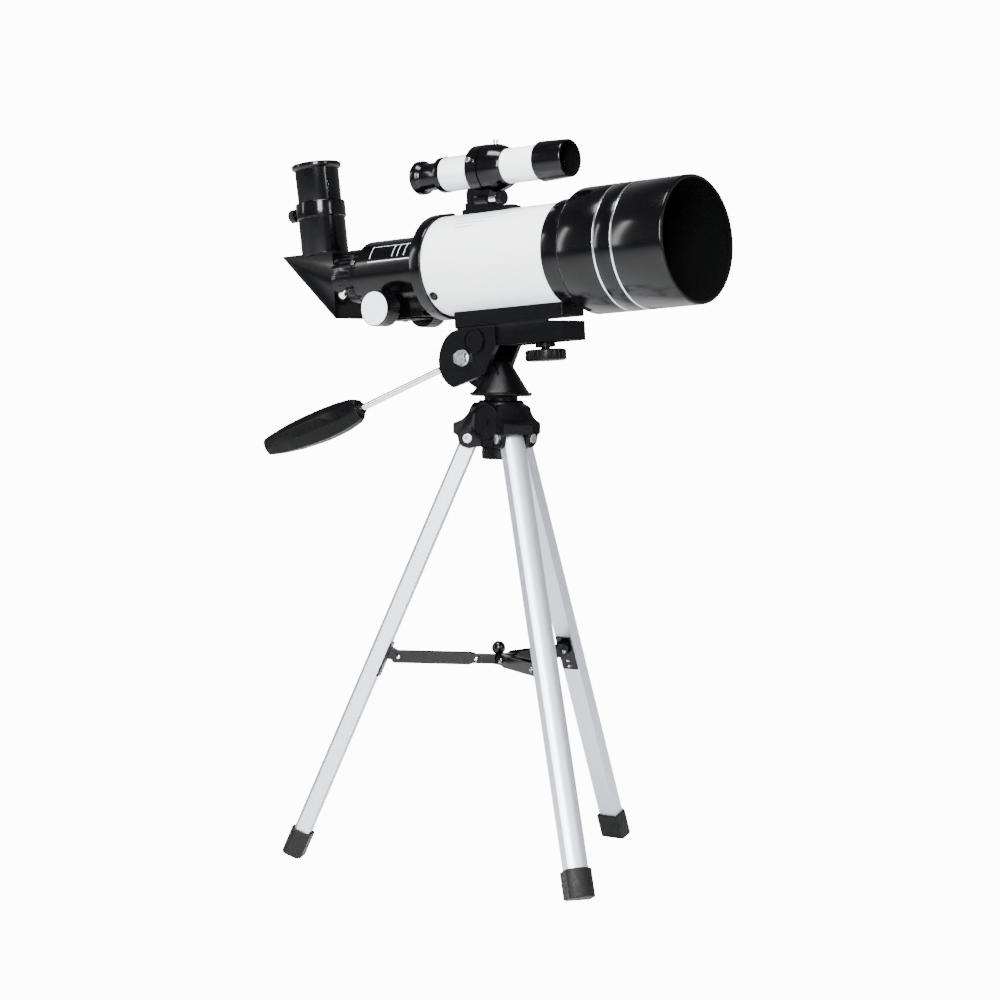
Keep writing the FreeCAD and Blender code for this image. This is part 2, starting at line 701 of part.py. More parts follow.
collar = turned_x([
    (-138, NOSE_R + 0.08),
    (-138, 19.2),
    (-137.2, 20.0),
    (-126.2, 20.0),
    (-125.6, 19.2),
    (-117.8, 19.2),
    (-117.8, DRAW_R),
    (-126, DRAW_R),
    (-126, NOSE_R + 0.08),
])
for i in range(36):
    groove = cyl(0.55, (-137, 0, 20.2), (-126.4, 0, 20.2))
    collar = collar.cut(radial(groove, i * 10))
for s, angle in ((-131.6, 122.8), (-121.6, 66.0)):
    hole = radial(cyl(1.6, (s, 0, 10), (s, 0, 22)), angle)
    collar = collar.cut(hole)
export("drawtube_collar", on_tube(collar))

nose_screw = cyl(1.5, (-131.6, 0, 16.3), (-131.6, 0, 22.6))
nose_screw = nose_screw.fuse(cyl(2.7, (-131.6, 0, 22.4), (-131.6, 0, 27.0)))
export("nose_thumbscrew", on_tube(radial(nose_screw, 122.8)))

lock_screw = cyl(1.5, (-121.6, 0, DRAW_R + 0.1), (-121.6, 0, 21.2))
lock_screw = lock_screw.fuse(cyl(1.8, (-121.6, 0, 20.6), (-121.6, 0, 22.6)))
export("drawtube_setscrew", on_tube(radial(lock_screw, 66.0)))

pinion = cyl(4.5, (PINION_S, -6, PINION_H), (PINION_S, 6, PINION_H))
tooth = side_plate([
    (PINION_S - 0.85, PINION_H + 4.2),
    (PINION_S - 0.3, PINION_H + 6.3),
    (PINION_S + 0.3, PINION_H + 6.3),
    (PINION_S + 0.85, PINION_H + 4.2),
], -6, 6)
for i in range(PINION_TEETH):
    angle = i * 360.0 / PINION_TEETH
    pinion = pinion.fuse(turned_about(tooth, (PINION_S, 0, PINION_H), (0, 1, 0), angle))
pinion = pinion.fuse(cyl(2.5, (PINION_S, -30, PINION_H), (PINION_S, 30, PINION_H)))
export("pinion_shaft", on_tube(pinion))

knobs = []
caps = []
for side in (-1, 1):
    wheel = cyl(12.8, (PINION_S, side * 20.2, PINION_H), (PINION_S, side * 33.6, PINION_H))
    for i in range(40):
        groove = cyl(0.45, (PINION_S, side * 21, PINION_H + 12.9), (PINION_S, side * 31, PINION_H + 12.9))
        wheel = wheel.cut(turned_about(groove, (PINION_S, 0, PINION_H), (0, 1, 0), i * 9))
    wheel = wheel.cut(cyl(2.5, (PINION_S, 0, PINION_H), (PINION_S, side * 30, PINION_H)))
    wheel = wheel.cut(cyl(12.1, (PINION_S, side * 32.8, PINION_H), (PINION_S, side * 35, PINION_H)))
    knobs.append(wheel)
    caps.append(cyl(12.1, (PINION_S, side * 32.8, PINION_H), (PINION_S, side * 34.0, PINION_H)))
export("focus_knobs", on_tube(Part.makeCompound(knobs)))
export("focus_knob_caps", on_tube(Part.makeCompound(caps)))


# --------------------------------------------------------------------------
# Diagonal, its mirror, the eyepiece holder and the eyepiece
# --------------------------------------------------------------------------

diag_rear = DIAG_FRONT - DIAG_LEG
diag_under = DIAG_TOP - DIAG_LEG
outer = [(diag_rear, DIAG_TOP), (DIAG_FRONT, DIAG_TOP), (DIAG_FRONT, diag_under)]
inset = 1.8
slant = inset * (1 + math.sqrt(2))
inner = [
    (diag_rear + slant, DIAG_TOP - inset),
    (DIAG_FRONT - inset, DIAG_TOP - inset),
    (DIAG_FRONT - inset, diag_under + slant),
]
diagonal = side_plate(outer, -DIAG_HALF, DIAG_HALF)
diagonal = diagonal.cut(side_plate(inner, -DIAG_HALF + inset, DIAG_HALF - inset))
diagonal = diagonal.fuse(tube(18.4, 14.3, (DIAG_FRONT - 0.5, 0, 0), (-138.4, 0, 0)))
diagonal = diagonal.fuse(tube(NOSE_R, 14.3, (DIAG_FRONT, 0, 0), (-112, 0, 0)))
diagonal = diagonal.cut(cyl(14.3, (DIAG_FRONT - 4, 0, 0), (DIAG_FRONT + 1, 0, 0)))
diagonal = diagonal.cut(cyl(14.3, (EYE_S, 0, DIAG_TOP - 4), (EYE_S, 0, DIAG_TOP + 1)))
export("diagonal_body", on_tube(diagonal))

# the mirror's face crosses both light paths, its back rests on the slanted wall
thick = 3.2
mirror = side_plate([
    (EYE_S - 15.5, 15.5),
    (EYE_S + 18.4, -18.4),
    (EYE_S + 18.4 - thick, -18.4 - thick),
    (EYE_S - 15.5 - thick, 15.5 - thick),
], -14.0, 14.0)
export("diagonal_mirror", on_tube(mirror))

# the eyepiece holder, its thumbscrew and the eyepiece stand on the diagonal's top
holder_top = 38.6
holder = turned_z([
    (NOSE_R + 0.1, -3.0),
    (17.4, -3.0),
    (17.4, holder_top - 12.0),
    (18.4, holder_top - 11.6),
    (18.4, holder_top - 0.4),
    (18.0, holder_top),
    (NOSE_R + 0.1, holder_top),
])
screw_h = holder_top - 5.6
holder = holder.cut(cyl(1.6, (0, 0, screw_h), (-22, 0, screw_h)))
holder = on_eyepiece(holder).cut(on_tube(box(-210, -130, -30, 30, -20, DIAG_TOP)))
export("eyepiece_holder", holder)

eye_screw = cyl(1.5, (-16.3, 0, screw_h), (-25, 0, screw_h))
eye_screw = eye_screw.fuse(cyl(2.1, (-20.0, 0, screw_h), (-24.5, 0, screw_h)))
wheel = cyl(4.9, (-24, 0, screw_h), (-29, 0, screw_h))
for i in range(18):
    groove = cyl(0.45, (-23, 0, screw_h + 5), (-30, 0, screw_h + 5))
    wheel = wheel.cut(turned_about(groove, (0, 0, screw_h), (1, 0, 0), i * 20))
export("holder_thumbscrew", on_eyepiece(eye_screw.fuse(wheel)))

eyepiece = turned_z([
    (12.9, 14.6),
    (NOSE_R, 14.6),
    (NOSE_R, holder_top + 0.3),
    (16.1, holder_top + 0.3),
    (16.3, 63.2),
    (17.9, 64.2),
    (18.4, 65.0),
    (18.4, 67.0),
    (17.6, 67.6),
    (12.0, 67.6),
    (10.0, 65.8),
    (10.0, 56.6),
    (12.9, 54.6),
])
export("eyepiece_body", on_eyepiece(eyepiece))


def lens_up(radius, low, high, sag):
    lens = lens_x(radius, low, sag, high, sag)
    return turned_about(lens, (0, 0, 0), (0, 1, 0), -90)


eye_lens = lens_up(10.0, 58.0, 63.5, 1.6)
field_lens = lens_up(12.9, 34.5, 40.5, 2.0)
export("eyepiece_lenses", on_eyepiece(Part.makeCompound([eye_lens, field_lens])))


# --------------------------------------------------------------------------
# Finder: shoe and ring bracket, tube, front shade, eyepiece, lenses, screws
# --------------------------------------------------------------------------

def finder_axis(shape):
    return moved(shape, 0, 0, FINDER_H)


shoe = tube(39.2, TUBE_R, (-26.4, 0, 0), (12.3, 0, 0)).common(box(-30, 15, -9.5, 9.5, 20, 45))
shoe = shoe.fuse(box(-23.4, -3, -9.5, 9.5, 37.0, 42.6))
shoe = shoe.cut(cyl(TUBE_R, (-40, 0, 0), (20, 0, 0)))
stem = side_plate([(-23.4, 42), (-5, 42), (-1, 52), (-8, 60), (-16, 60), (-23.4, 51)], -7.5, 7.5)
rear_ring = tube(17.4, 13.2, (-16.4, 0, 0), (-6.8, 0, 0))
neck_ring = tube(15.2, 13.2, (-7.0, 0, 0), (-5.4, 0, 0))
front_ring = turned_x([
    (-5.6, 13.2),
    (-5.6, 17.3),
    (2.0, 16.9),
    (7.0, 15.2),
    (10.4, 13.6),
    (10.8, 13.2),
    (10.8, FINDER_R),
    (7.6, FINDER_R),
    (6.6, 13.2),
])
grip_ring = tube(17.0, FINDER_R, (-16.4, 0, 0), (-15.0, 0, 0))
bracket = finder_axis(rear_ring.fuse(neck_ring).fuse(front_ring).fuse(grip_ring))
stem = stem.cut(finder_axis(cyl(15.0, (-40, 0, 0), (20, 0, 0))))
shoe = shoe.fuse(stem)
adjusters = [(-12.0, 72.0), (-12.0, -72.0), (-0.6, 0.0)]
for s, angle in adjusters:
    hole = finder_axis(radial(cyl(1.2, (s, 0, 10), (s, 0, 20)), angle))
    bracket = bracket.cut(hole)
bracket = bracket.fuse(shoe)
bracket = bracket.fuse(cyl(3.4, (-14, SCREW_Y, SCREW_H), (-3.4, SCREW_Y, SCREW_H)))
bracket = bracket.cut(cyl(TUBE_R, (-40, 0, 0), (20, 0, 0)))
bracket = bracket.cut(cyl(1.6, (-10, SCREW_Y, SCREW_H), (0, SCREW_Y, SCREW_H)))
bracket = bracket.removeSplitter()
export("finder_bracket", on_tube(bracket))

screws = []
for s, angle in adjusters:
    screw = cyl(1.2, (s, 0, FINDER_R), (s, 0, 18.4))
    screw = screw.fuse(cyl(2.0, (s, 0, 18.0), (s, 0, 20.2)))
    screws.append(finder_axis(radial(screw, angle)))
export("finder_adjusters", on_tube(Part.makeCompound(screws)))

shoe_screw = cyl(1.5, (-9, SCREW_Y, SCREW_H), (6.0, SCREW_Y, SCREW_H))
shoe_screw = shoe_screw.fuse(cyl(2.8, (-1.6, SCREW_Y, SCREW_H), (6.0, SCREW_Y, SCREW_H)))
wheel = cyl(5.0, (6.0, SCREW_Y, SCREW_H), (10.8, SCREW_Y, SCREW_H))
for i in range(20):
    groove = cyl(0.45, (5, SCREW_Y, SCREW_H + 5.1), (12, SCREW_Y, SCREW_H + 5.1))
    wheel = wheel.cut(turned_about(groove, (0, SCREW_Y, SCREW_H), (1, 0, 0), i * 18))
export("finder_thumbscrew", on_tube(shoe_screw.fuse(wheel)))

finder_tube = tube(FINDER_R, FINDER_R - 1, (-47, 0, 0), (44, 0, 0))
export("finder_tube", on_tube(finder_axis(finder_tube)))

shade = turned_x([
    (40.0, FINDER_R),
    (40.0, 13.8),
    (40.8, 14.2),
    (63.4, 13.3),
    (64.0, 12.8),
    (64.0, 12.2),
    (49.0, 12.2),
    (49.0, 10.4),
    (44.0, 10.4),
    (44.0, FINDER_R),
])
export("finder_shade", on_tube(finder_axis(shade)))

finder_eye = turned_x([
    (-72.4, 8.0),
    (-72.4, 11.0),
    (-70.8, 12.2),
    (-66.2, 12.2),
    (-64.8, 10.6),
    (-64.0, 10.0),
    (-51.5, 10.0),
    (-49.4, 12.8),
    (-44.6, 12.9),
    (-44.6, FINDER_R),
    (-47.0, FINDER_R),
    (-47.0, 8.6),
    (-66.0, 8.6),
    (-68.0, 6.5),
    (-70.0, 6.5),
])
export("finder_eyepiece", on_tube(finder_axis(finder_eye)))

export("finder_objective", on_tube(finder_axis(lens_x(12.2, 49.0, 1.0, 52.4, 1.2))))
export("finder_eye_lens", on_tube(finder_axis(lens_x(8.6, -66.0, 0.8, -62.6, 0.8))))
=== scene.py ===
import json
import math
import bpy
import bmesh
from mathutils import Matrix, Vector


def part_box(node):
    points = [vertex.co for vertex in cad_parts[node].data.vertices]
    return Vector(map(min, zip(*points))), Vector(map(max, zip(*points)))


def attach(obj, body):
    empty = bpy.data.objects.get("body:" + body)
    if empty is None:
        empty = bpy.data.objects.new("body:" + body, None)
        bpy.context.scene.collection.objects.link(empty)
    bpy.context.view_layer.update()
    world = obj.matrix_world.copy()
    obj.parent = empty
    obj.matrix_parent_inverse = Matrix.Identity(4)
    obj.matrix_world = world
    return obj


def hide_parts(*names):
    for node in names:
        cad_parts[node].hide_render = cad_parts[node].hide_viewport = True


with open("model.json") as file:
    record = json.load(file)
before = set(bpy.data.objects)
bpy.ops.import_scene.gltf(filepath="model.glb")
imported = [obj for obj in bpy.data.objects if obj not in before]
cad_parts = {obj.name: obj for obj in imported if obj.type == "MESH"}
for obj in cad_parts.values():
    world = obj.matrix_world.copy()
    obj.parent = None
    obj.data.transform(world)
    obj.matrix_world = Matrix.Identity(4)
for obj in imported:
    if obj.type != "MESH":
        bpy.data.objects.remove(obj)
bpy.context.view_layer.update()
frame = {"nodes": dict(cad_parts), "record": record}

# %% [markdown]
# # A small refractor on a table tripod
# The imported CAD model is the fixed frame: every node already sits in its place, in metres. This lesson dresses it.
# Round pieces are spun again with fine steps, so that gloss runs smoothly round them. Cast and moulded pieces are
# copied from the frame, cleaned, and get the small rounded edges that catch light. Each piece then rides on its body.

MM = 0.001
bodies = frame["record"]["behaviour"]["bodies"]
body_by_node = {node: body for body, nodes in bodies.items() for node in nodes}
joint_by_name = {joint["name"]: joint for joint in frame["record"]["behaviour"]["joints"]}

# %% [markdown]
# ## The camera
# A product is usually taken from a few metres away with a long lens, so that its lines stay nearly parallel. The camera
# stands about two metres from the tripod's axis at the height of the tripod head, and looks down by three degrees.
# An empty target would need a constraint, so the turn is worked out once from the view direction instead.

# %% Camera
CAMERA_AZIMUTH = 37.82
CAMERA_DISTANCE = 1.9926
CAMERA_HEIGHT = 0.3629
CAMERA_PITCH = 2.95
CAMERA_ROLL = 0.54

turn = math.radians(CAMERA_AZIMUTH)
camera_place = Vector((CAMERA_DISTANCE * math.sin(turn), -CAMERA_DISTANCE * math.cos(turn), CAMERA_HEIGHT))
camera = bpy.data.objects.new("camera", bpy.data.cameras.new("camera"))
camera.data.sensor_width = 36
camera.data.lens = 101.14
camera.data.clip_end = 60
facing = Matrix.Rotation(turn, 4, "Z") @ Matrix.Rotation(math.radians(90 - CAMERA_PITCH), 4, "X")
camera.matrix_world = Matrix.Translation(camera_place) @ facing @ Matrix.Rotation(math.radians(CAMERA_ROLL), 4, "Z")
bpy.context.scene.collection.objects.link(camera)
bpy.context.scene.camera = camera
print("camera at", [round(v, 3) for v in camera_place])

# %% [markdown]
# ## Floor and light
# The camera sees floor and room as plain bright white, which leaves the object cut out. That is a switch on camera rays
# only and not a real light: everything else is lit by a floor of pale paper and by a dim room. The room is white round
# the horizon and greyer overhead, so that black
# parts keep dark tops and chrome gets a dark streak. Four soft boxes give the long highlights: one above, a strong one
# over the camera's right shoulder, and two narrow ones at the sides for the rims.
# A backdrop wall could hide the horizon, but a floor that is as pale as the room does the same with one object.


# %% Colour and node helpers
def colour(hex_code):
    """An sRGB hex colour as the linear values that shaders read."""
    out = []
    for i in (0, 2, 4):
        c = int(hex_code[i:i + 2], 16) / 255
        out.append(c / 12.92 if c <= 0.04045 else ((c + 0.055) / 1.055) ** 2.4)
    return (*out, 1.0)


def add(material, kind, settings=(), links=()):
    """A new node with its settings and its incoming links."""
    node = material.node_tree.nodes.new(kind)
    for key, value in dict(settings).items():
        if key in node.inputs:
            node.inputs[key].default_value = value
        else:
            setattr(node, key, value)
    for socket, source in dict(links).items():
        material.node_tree.links.new(source, node.inputs[socket])
    return node


def shader(name, settings):
    """A material whose Principled shader has these constant values."""
    material = bpy.data.materials.new(name)
    material.use_nodes = True
    principled = material.node_tree.nodes["Principled BSDF"]
    for key, value in settings.items():
        principled.inputs[key].default_value = value
    return material, principled


# %% Floor and lights
# The crown stays put when the legs fold, so the feet swing about 23 mm below where they stand. The floor lies lower than
# that, and at rest the feet hang above it.
FOLD_DROP = 27
paper, p = shader("pale_paper", {"Base Color": colour("F3F4F5"), "Roughness": 0.9})
glow = add(paper, "ShaderNodeEmission", {"Color": colour("FFFFFF"), "Strength": 13.0})
eye = add(paper, "ShaderNodeLightPath")
blend = add(paper, "ShaderNodeMixShader", {}, {"Fac": eye.outputs["Is Camera Ray"]})
paper.node_tree.links.new(p.outputs["BSDF"], blend.inputs[1])
paper.node_tree.links.new(glow.outputs["Emission"], blend.inputs[2])
paper.node_tree.links.new(blend.outputs["Shader"], paper.node_tree.nodes["Material Output"].inputs["Surface"])
bm = bmesh.new()
bmesh.ops.create_grid(bm, x_segments=1, y_segments=1, size=14)
bmesh.ops.translate(bm, verts=bm.verts, vec=(0, 0, -FOLD_DROP * MM))
floor_mesh = bpy.data.meshes.new("floor")
bm.to_mesh(floor_mesh)
bm.free()
floor = bpy.data.objects.new("floor", floor_mesh)
floor_mesh.materials.append(paper)
bpy.context.scene.collection.objects.link(floor)

world = bpy.data.worlds.new("white_room")
world.use_nodes = True
background = world.node_tree.nodes["Background"]
background.inputs["Color"].default_value = colour("F9FAFC")
sky = add(world, "ShaderNodeTexCoord")
split = add(world, "ShaderNodeSeparateXYZ", {}, {"Vector": sky.outputs["Generated"]})
fade = add(world, "ShaderNodeMapRange", {"From Min": 0.12, "From Max": 0.75, "To Min": 0.55, "To Max": 0.12},
           {"Value": split.outputs["Z"]})
backdrop = add(world, "ShaderNodeBackground", {"Color": colour("FFFFFF"), "Strength": 13.0})
seen = add(world, "ShaderNodeLightPath")
either = add(world, "ShaderNodeMixShader", {}, {"Fac": seen.outputs["Is Camera Ray"]})
world.node_tree.links.new(fade.outputs["Result"], background.inputs["Strength"])
world.node_tree.links.new(background.outputs["Background"], either.inputs[1])
world.node_tree.links.new(backdrop.outputs["Background"], either.inputs[2])
world.node_tree.links.new(either.outputs["Shader"], world.node_tree.nodes["World Output"].inputs["Surface"])
bpy.context.scene.world = world


def soft_box(name, place, aim, width, height, watts):
    light = bpy.data.lights.new(name, "AREA")
    light.shape = "RECTANGLE"
    light.size = width
    light.size_y = height
    light.energy = watts
    lamp = bpy.data.objects.new(name, light)
    direction = Vector(aim) - Vector(place)
    lamp.matrix_world = Matrix.Translation(place) @ direction.to_track_quat("-Z", "Y").to_matrix().to_4x4()
    bpy.context.scene.collection.objects.link(lamp)


soft_box("box_above", (0.1, -0.5, 1.9), (0, 0, 0.3), 1.3, 0.5, 75)
soft_box("box_front", (1.25, -1.9, 1.15), (0, 0, 0.3), 0.7, 1.1, 175)
soft_box("box_left", (-1.7, -1.3, 0.9), (0, 0, 0.35), 0.2, 1.2, 12)
soft_box("box_right", (2.2, -0.2, 0.9), (0, 0, 0.4), 0.3, 1.1, 24)

# %% [markdown]
# ## Finishes
# White stove enamel on the tube is smooth and bright with a clear gloss over it. The black pieces come in three finishes:
# gloss enamel on turned aluminium, moulded ABS with a fine grain, and soft rubber on the feet. The legs are
# anodised aluminium, matt and pale, and the small screws are chrome. A picture texture could give each one its wear,
# but a noise at the real size of the grain holds up close and needs no file.


# %% Grain: a bump at a stated size
def grain(material, principled, size_mm, depth_mm, detail=2.0, stretch=(1, 1, 1)):
    """Raised grain of about size_mm across and depth_mm high."""
    place = add(material, "ShaderNodeTexCoord")
    mapping = add(material, "ShaderNodeMapping", {"Scale": stretch}, {"Vector": place.outputs["Object"]})
    noise = add(material, "ShaderNodeTexNoise", {"Scale": 0.5 / (size_mm * MM), "Detail": detail},
                {"Vector": mapping.outputs["Vector"]})
    bump = add(material, "ShaderNodeBump", {"Strength": 1.0, "Distance": depth_mm * MM},
               {"Height": noise.outputs["Fac"]})
    material.node_tree.links.new(bump.outputs["Normal"], principled.inputs["Normal"])
    return noise


def mottle(material, principled, noise, low, high):
    """Roughness that wanders between low and high over the same grain."""
    span = add(material, "ShaderNodeMapRange", {"From Min": 0.35, "From Max": 0.65, "To Min": low, "To Max": high},
               {"Value": noise.outputs["Fac"]})
    material.node_tree.links.new(span.outputs["Result"], principled.inputs["Roughness"])


# %% Paints and plastics
# Stove enamel, sprayed: a very shallow orange peel of about 2 mm under a clear gloss.
white_enamel, p = shader("white_stove_enamel", {
    "Base Color": colour("EEF0F4"), "Roughness": 0.22, "IOR": 1.52, "Coat Weight": 0.5, "Coat Roughness": 0.06})
grain(white_enamel, p, 2.0, 0.002)

# Gloss enamel on turned aluminium: deep black with a clean highlight.
black_enamel, p = shader("black_gloss_enamel", {
    "Base Color": colour("030304"), "Roughness": 0.16, "IOR": 1.45, "Specular IOR Level": 0.3})
grain(black_enamel, p, 2.5, 0.002)

# Injection-moulded ABS from a spark-eroded mould: grain of half a millimetre, satin.
moulded_abs, p = shader("moulded_abs", {
    "Base Color": colour("030304"), "Roughness": 0.34, "IOR": 1.42, "Specular IOR Level": 0.14})
mottle(moulded_abs, p, grain(moulded_abs, p, 0.5, 0.004), 0.28, 0.4)

# Polished ABS: knobs, diagonal and eyepiece.
polished_abs, p = shader("polished_abs", {
    "Base Color": colour("030304"), "Roughness": 0.16, "IOR": 1.45, "Specular IOR Level": 0.28})
grain(polished_abs, p, 3.0, 0.002)

# Flat black flocking paint inside the tubes stops stray light.
flat_black, p = shader("flat_black_paint", {"Base Color": colour("020202"), "Roughness": 0.8, "Specular IOR Level": 0.05})
grain(flat_black, p, 0.4, 0.01)

# Soft rubber: matt, with a fine dusty bloom.
foot_rubber, p = shader("foot_rubber", {"Base Color": colour("060607"), "Roughness": 0.5, "Specular IOR Level": 0.2})
mottle(foot_rubber, p, grain(foot_rubber, p, 0.8, 0.012), 0.48, 0.66)

# Pressed grey end plate of the focus knob.
grey_plate, p = shader("grey_abs", {"Base Color": colour("DADDE2"), "Roughness": 0.42, "IOR": 1.5})
grain(grey_plate, p, 0.6, 0.004)

# Silver and grey printing ink, laid on as a film a few hundredths of a millimetre thick.
silver_ink, p = shader("silver_ink", {"Base Color": colour("C9CCD2"), "Metallic": 0.35, "Roughness": 0.35})
grey_ink, p = shader("grey_ink", {"Base Color": colour("6C727C"), "Roughness": 0.45})

# %% Metals
# Anodised aluminium, extruded and bead-blasted: pale and matt, with a fine even grain.
leg_anodised, p = shader("anodised_aluminium", {
    "Base Color": colour("C6C9D0"), "Metallic": 0.9, "Roughness": 0.34})
mottle(leg_anodised, p, grain(leg_anodised, p, 0.5, 0.003), 0.38, 0.48)

# Turned aluminium trim left bright in its groove.
turned_trim, p = shader("turned_aluminium", {"Base Color": colour("E3E5E8"), "Metallic": 1.0, "Roughness": 0.22})
grain(turned_trim, p, 0.3, 0.002)

# Chrome plate over brass or steel: a near mirror.
chrome_plate, p = shader("chrome_plate", {"Base Color": colour("E6E8EA"), "Metallic": 1.0, "Roughness": 0.1})
grain(chrome_plate, p, 1.5, 0.001)

# Zinc-plated steel bolt: bright but slightly clouded.
zinc_steel, p = shader("zinc_plated_steel", {"Base Color": colour("B4B6B8"), "Metallic": 1.0, "Roughness": 0.3})
mottle(zinc_steel, p, grain(zinc_steel, p, 1.2, 0.003), 0.22, 0.38)

# Silvered front-surface mirror.
silvered, p = shader("silvered_mirror", {"Base Color": colour("F0F2F4"), "Metallic": 1.0, "Roughness": 0.02})

# Coated optical crown glass: clear, with a blue-green coating that shows at a slant.
coated_glass, p = shader("coated_glass", {
    "Base Color": colour("DDEBF2"), "Roughness": 0.01, "IOR": 1.52, "Transmission Weight": 1.0,
    "Thin Film Thickness": 120.0, "Thin Film IOR": 1.38})
print("materials", len(bpy.data.materials))

# %% [markdown]
# ## Two ways to make a piece
# A turned piece is a closed outline of station and radius, spun about its axis, with its rims rounded by a bevel.
# A cast or moulded piece has its true shape in the frame already, so it is copied: the loose triangles are merged,
# flat facets are joined, and a bevel modifier rounds what is left sharp. Modelling them all again by hand would
# give the same surfaces with more chances of drifting from the size that the joints need.


# %% Making a piece: spin and copy
def finish_mesh(mesh, finish, angle=32):
    mesh.materials.clear()
    for item in (finish if isinstance(finish, (list, tuple)) else [finish]):
        mesh.materials.append(item)
    mesh.polygons.foreach_set("use_smooth", [True] * len(mesh.polygons))
    mesh.set_sharp_from_angle(angle=math.radians(angle))


def place_piece(name, mesh, node, others=()):
    piece = bpy.data.objects.new(name, mesh)
    bpy.context.scene.collection.objects.link(piece)
    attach(piece, body_by_node[node])
    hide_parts(node, *others)
    return piece


def rounded(bm, width_mm, angle=28, segments=2):
    """Rounds every edge that turns by more than angle degrees."""
    limit = math.radians(angle)
    sharp = [e for e in bm.edges if len(e.link_faces) == 2 and e.calc_face_angle(0) > limit]
    bmesh.ops.bevel(bm, geom=sharp, offset=width_mm * MM, offset_type="OFFSET", affect="EDGES", segments=segments,
                    profile=0.5, material=-1, clamp_overlap=True, loop_slide=True)


def spun(outline_mm, steps=96, round_mm=0.25):
    """A bmesh turned about X from a closed outline of (station, radius)."""
    bm = bmesh.new()
    points = [bm.verts.new((s * MM, 0, r * MM)) for s, r in outline_mm]
    rim = [bm.edges.new((points[i], points[(i + 1) % len(points)])) for i in range(len(points))]
    bmesh.ops.spin(bm, geom=points + rim, axis=(1, 0, 0), cent=(0, 0, 0), dvec=(0, 0, 0),
                   angle=2 * math.pi, steps=steps, use_merge=True, use_duplicate=False)
    bmesh.ops.remove_doubles(bm, verts=bm.verts, dist=1e-6)
    bmesh.ops.recalc_face_normals(bm, faces=bm.faces)
    if round_mm:
        rounded(bm, round_mm)
    return bm


def turned(name, node, outline_mm, place, finish, steps=96, round_mm=0.25, others=(), inside=None):
    """A spun piece in its place. inside gives the bore its own finish."""
    bm = spun(outline_mm, steps, round_mm)
    if inside:
        for face in bm.faces:
            centre = face.calc_center_median()
            if face.normal.dot(Vector((0, centre.y, centre.z))) < -1e-5:
                face.material_index = 1
    bm.transform(place)
    mesh = bpy.data.meshes.new(name)
    bm.to_mesh(mesh)
    bm.free()
    kept = [p.material_index for p in mesh.polygons]
    finish_mesh(mesh, [finish, inside] if inside else finish)
    mesh.polygons.foreach_set("material_index", kept)
    return place_piece(name, mesh, node, others)


def moulded(node, finish, round_mm=0.4, segments=3):
    """A cleaned copy of a frame node with rounded edges."""
    bm = bmesh.new()
    bm.from_mesh(frame["nodes"][node].data)
    bmesh.ops.remove_doubles(bm, verts=bm.verts, dist=4e-6)
    bmesh.ops.dissolve_limit(bm, angle_limit=math.radians(0.6), verts=bm.verts, edges=bm.edges)
    mesh = bpy.data.meshes.new(node + "_rounded")
    bm.to_mesh(mesh)
    bm.free()
    finish_mesh(mesh, finish)
    piece = place_piece(node + "_rounded", mesh, node)
    if round_mm:
        edge = piece.modifiers.new("rounded_edges", "BEVEL")
        edge.width = round_mm * MM
        edge.segments = segments
        edge.limit_method = "ANGLE"
        edge.angle_limit = math.radians(32)
        edge.harden_normals = True
        edge.use_clamp_overlap = True
    return piece


# %% The telescope's own frame
low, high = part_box("main_tube")
middle = (Vector(low) + Vector(high)) / 2
slide = joint_by_name["drawtube_slide"]["axis"]
forward = -Vector(slide).normalized()
TUBE_MIDDLE = 8
nose_up = math.atan2(forward.z, forward.x)
tube_place = Matrix.Translation(middle - forward * TUBE_MIDDLE * MM) @ Matrix.Rotation(-nose_up, 4, "Y")
finder_place = tube_place @ Matrix.Translation((0, 0, 66 * MM))
print("tube points up by", round(math.degrees(nose_up), 2), "degrees")

# %% [markdown]
# ## The tube, its cells and the dew shield
# The tube is rolled sheet, enamelled white. Black cells close both ends, and the dew shield slides over the front cell.
# They are all bodies of revolution, so a lathe outline and a spin give each one exactly. Two bright rings are let
# into grooves round the shield. The bores are flat black, which keeps the view of the lens dark and deep.

# %% Tube and cells
turned("enamelled_tube", "main_tube", [(-50, 34.8), (-50, 36), (66, 36), (66, 34.8)], tube_place, white_enamel,
       steps=160, round_mm=0, inside=flat_black)
turned("rear_cell_ring", "rear_cell", [
    (-45, 36), (-45, 37.6), (-45.6, 38), (-54.2, 38), (-55.2, 37), (-60.5, 26.3), (-60.5, 24.3),
    (-52, 24.3), (-52, 33), (-50, 33), (-50, 36)], tube_place, black_enamel, steps=160, round_mm=0.3)
turned("front_cell_ring", "front_cell", [
    (61.4, 36), (61.4, 36.9), (62.2, 37.7), (76.6, 37.7), (76.6, 37.3), (96, 37.3), (96, 35),
    (81.6, 35), (81.6, 33), (66, 33), (66, 36)], tube_place, black_enamel, steps=160, round_mm=0.2, inside=flat_black)

